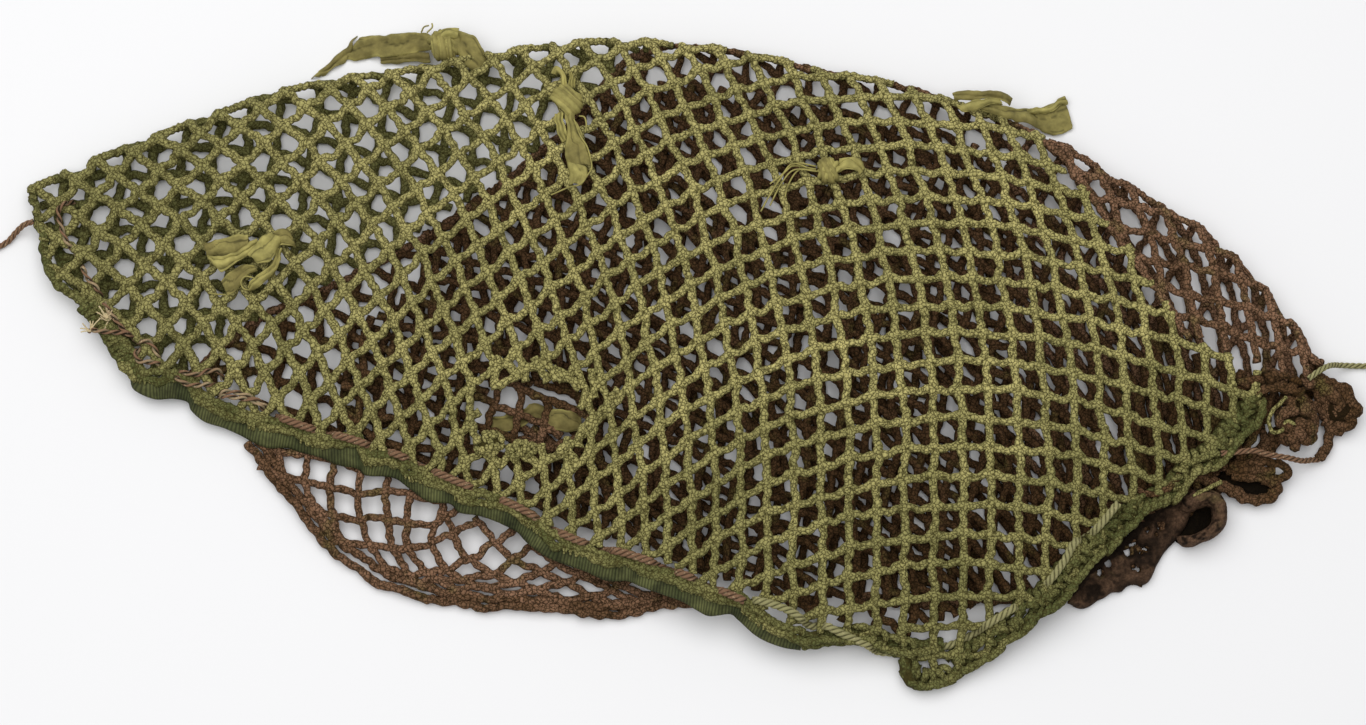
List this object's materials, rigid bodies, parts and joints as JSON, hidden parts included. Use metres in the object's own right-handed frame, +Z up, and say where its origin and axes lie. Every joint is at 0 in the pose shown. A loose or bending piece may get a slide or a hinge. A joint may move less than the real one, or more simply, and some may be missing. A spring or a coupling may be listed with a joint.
{
  "type": "helmet net",
  "caption": "Green and brown cord netting cover for a helmet, lying folded flat, with a drawstring hem, a sewn edge tape and tied cloth strips.",
  "frame": {"origin": "on the table under the middle of the folded net's box", "axes": "+X along the folded net from its plain end to its gathered end, +Y towards the folded back edge, +Z up"},
  "size_m": [0.5347, 0.2434, 0.0262],
  "materials": {
    "green_netting": "knitted cotton cord, olive green, matte",
    "brown_netting": "knitted cotton cord, dark brown, matte",
    "green_tape": "ribbed woven tape, dark green, matte",
    "brown_cord": "twisted cord, red brown, slight sheen",
    "green_cord": "twisted cord, pale olive, matte",
    "olive_cloth": "plain woven cloth strip with frayed edges, olive, matte"
  },
  "bodies": {
    "root": {"net_green": "green_netting", "net_brown": "brown_netting", "hem_tape": "green_tape", "drawstring_brown": "brown_cord", "drawstring_green": "green_cord", "cord_end_left": "brown_cord", "cord_end_right": "green_cord", "drawstring_loop": "brown_cord", "scrim_strip_1": "olive_cloth", "scrim_strip_2": "olive_cloth", "scrim_strip_3": "olive_cloth", "scrim_strip_4": "olive_cloth", "scrim_strip_5": "olive_cloth", "scrim_strip_6": "olive_cloth"}
  },
  "joints": []
}
